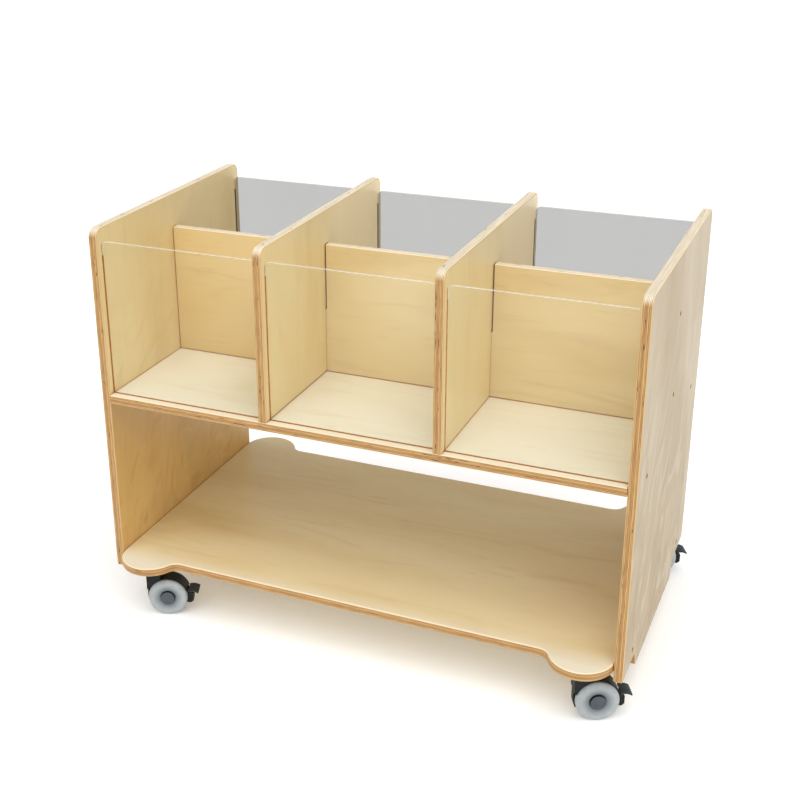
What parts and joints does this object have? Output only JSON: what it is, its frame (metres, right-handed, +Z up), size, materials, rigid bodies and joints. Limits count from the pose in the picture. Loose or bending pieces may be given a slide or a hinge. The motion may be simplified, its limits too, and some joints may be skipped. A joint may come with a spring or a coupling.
{
  "type": "book cart",
  "caption": "Double-sided plywood book browser on braked swivel casters, with book bays closed by acrylic panels above an open through-bay and rounded ears on the bottom shelf.",
  "frame": {"origin": "on the floor under the middle of the cart", "axes": "+X along the shelves towards side_panel_right, +Y from the front bays to the rear bays, +Z up"},
  "size_m": [0.9216, 0.5634, 0.702],
  "materials": {
    "birch_side_panel": "satin lacquer on pale birch plywood, grain upright",
    "birch_divider": "satin lacquer on pale birch plywood, grain upright",
    "birch_center_board": "satin lacquer on birch plywood, wavy grain along the board",
    "birch_middle_shelf": "satin lacquer on pale birch plywood, grain along the shelf",
    "birch_bottom_shelf": "satin lacquer on pale birch plywood, grain along the shelf",
    "front_acrylic": "clear polished acrylic",
    "rear_acrylic": "light grey translucent acrylic",
    "bolt_steel": "blackened steel",
    "caster_steel": "zinc-plated steel",
    "caster_housing": "near-black nylon with a slight sheen",
    "brake_pedal": "charcoal nylon with a slight sheen",
    "wheel": "smooth light blue-grey tread rubber",
    "hub_cap": "dark slate plastic"
  },
  "bodies": {
    "cart_body": {"side_panel_left": "birch_side_panel", "side_panel_right": "birch_side_panel", "bottom_shelf": "birch_bottom_shelf", "middle_shelf": "birch_middle_shelf", "center_board": "birch_center_board", "divider_left": "birch_divider", "divider_right": "birch_divider", "front_acrylic_left": "front_acrylic", "front_acrylic_middle": "front_acrylic", "front_acrylic_right": "front_acrylic", "rear_acrylic_left": "rear_acrylic", "rear_acrylic_middle": "rear_acrylic", "rear_acrylic_right": "rear_acrylic", "bolt_left_1": "bolt_steel", "bolt_left_2": "bolt_steel", "bolt_left_3": "bolt_steel", "bolt_left_4": "bolt_steel", "bolt_left_5": "bolt_steel", "bolt_left_6": "bolt_steel", "bolt_right_1": "bolt_steel", "bolt_right_2": "bolt_steel", "bolt_right_3": "bolt_steel", "bolt_right_4": "bolt_steel", "bolt_right_5": "bolt_steel", "bolt_right_6": "bolt_steel", "caster_front_left_stem": "caster_steel", "caster_front_right_stem": "caster_steel", "caster_back_right_stem": "caster_steel", "caster_back_left_stem": "caster_steel"},
    "front_left_swivel": {"caster_front_left_housing": "caster_housing", "caster_front_left_axle": "caster_steel"},
    "front_left_wheel_a": {"caster_front_left_wheel_a": "wheel", "caster_front_left_hub_cap_a": "hub_cap"},
    "front_left_wheel_b": {"caster_front_left_wheel_b": "wheel", "caster_front_left_hub_cap_b": "hub_cap"},
    "front_left_pedal": {"caster_front_left_brake_pedal": "brake_pedal"},
    "front_right_swivel": {"caster_front_right_housing": "caster_housing", "caster_front_right_axle": "caster_steel"},
    "front_right_wheel_a": {"caster_front_right_wheel_a": "wheel", "caster_front_right_hub_cap_a": "hub_cap"},
    "front_right_wheel_b": {"caster_front_right_wheel_b": "wheel", "caster_front_right_hub_cap_b": "hub_cap"},
    "front_right_pedal": {"caster_front_right_brake_pedal": "brake_pedal"},
    "back_right_swivel": {"caster_back_right_housing": "caster_housing", "caster_back_right_axle": "caster_steel"},
    "back_right_wheel_a": {"caster_back_right_wheel_a": "wheel", "caster_back_right_hub_cap_a": "hub_cap"},
    "back_right_wheel_b": {"caster_back_right_wheel_b": "wheel", "caster_back_right_hub_cap_b": "hub_cap"},
    "back_right_pedal": {"caster_back_right_brake_pedal": "brake_pedal"},
    "back_left_swivel": {"caster_back_left_housing": "caster_housing", "caster_back_left_axle": "caster_steel"},
    "back_left_wheel_a": {"caster_back_left_wheel_a": "wheel", "caster_back_left_hub_cap_a": "hub_cap"},
    "back_left_wheel_b": {"caster_back_left_wheel_b": "wheel", "caster_back_left_hub_cap_b": "hub_cap"},
    "back_left_pedal": {"caster_back_left_brake_pedal": "brake_pedal"}
  },
  "joints": [
    {"name": "front_left_swivel_turn", "type": "hinge", "parent": "cart_body", "child": "front_left_swivel", "pos_m": [-0.383, -0.23, 0.0946], "axis": [0, 0, 1], "continuous": true},
    {"name": "front_left_wheel_a_spin", "type": "hinge", "parent": "front_left_swivel", "child": "front_left_wheel_a", "pos_m": [-0.35889, -0.22026, 0.0343], "axis": [-0.3746, 0.9272, 0], "continuous": true},
    {"name": "front_left_wheel_b_spin", "type": "hinge", "parent": "front_left_swivel", "child": "front_left_wheel_b", "pos_m": [-0.35889, -0.22026, 0.0343], "axis": [-0.3746, 0.9272, 0], "continuous": true},
    {"name": "front_left_pedal_press", "type": "hinge", "parent": "front_left_swivel", "child": "front_left_pedal", "pos_m": [-0.3232, -0.20584, 0.037], "axis": [-0.3746, 0.9272, 0], "range_deg": [0, 12]},
    {"name": "front_right_swivel_turn", "type": "hinge", "parent": "cart_body", "child": "front_right_swivel", "pos_m": [0.383, -0.23, 0.0946], "axis": [0, 0, 1], "continuous": true},
    {"name": "front_right_wheel_a_spin", "type": "hinge", "parent": "front_right_swivel", "child": "front_right_wheel_a", "pos_m": [0.40617, -0.2182, 0.0343], "axis": [-0.454, 0.891, 0], "continuous": true},
    {"name": "front_right_wheel_b_spin", "type": "hinge", "parent": "front_right_swivel", "child": "front_right_wheel_b", "pos_m": [0.40617, -0.2182, 0.0343], "axis": [-0.454, 0.891, 0], "continuous": true},
    {"name": "front_right_pedal_press", "type": "hinge", "parent": "front_right_swivel", "child": "front_right_pedal", "pos_m": [0.44047, -0.20072, 0.037], "axis": [-0.454, 0.891, 0], "range_deg": [0, 12]},
    {"name": "back_right_swivel_turn", "type": "hinge", "parent": "cart_body", "child": "back_right_swivel", "pos_m": [0.383, 0.23, 0.0946], "axis": [0, 0, 1], "continuous": true},
    {"name": "back_right_wheel_a_spin", "type": "hinge", "parent": "back_right_swivel", "child": "back_right_wheel_a", "pos_m": [0.40617, 0.2418, 0.0343], "axis": [-0.454, 0.891, 0], "continuous": true},
    {"name": "back_right_wheel_b_spin", "type": "hinge", "parent": "back_right_swivel", "child": "back_right_wheel_b", "pos_m": [0.40617, 0.2418, 0.0343], "axis": [-0.454, 0.891, 0], "continuous": true},
    {"name": "back_right_pedal_press", "type": "hinge", "parent": "back_right_swivel", "child": "back_right_pedal", "pos_m": [0.44047, 0.25928, 0.037], "axis": [-0.454, 0.891, 0], "range_deg": [0, 12]},
    {"name": "back_left_swivel_turn", "type": "hinge", "parent": "cart_body", "child": "back_left_swivel", "pos_m": [-0.383, 0.23, 0.0946], "axis": [0, 0, 1], "continuous": true},
    {"name": "back_left_wheel_a_spin", "type": "hinge", "parent": "back_left_swivel", "child": "back_left_wheel_a", "pos_m": [-0.40617, 0.2418, 0.0343], "axis": [-0.454, -0.891, 0], "continuous": true},
    {"name": "back_left_wheel_b_spin", "type": "hinge", "parent": "back_left_swivel", "child": "back_left_wheel_b", "pos_m": [-0.40617, 0.2418, 0.0343], "axis": [-0.454, -0.891, 0], "continuous": true},
    {"name": "back_left_pedal_press", "type": "hinge", "parent": "back_left_swivel", "child": "back_left_pedal", "pos_m": [-0.44047, 0.25928, 0.037], "axis": [-0.454, -0.891, 0], "range_deg": [0, 12]}
  ]
}
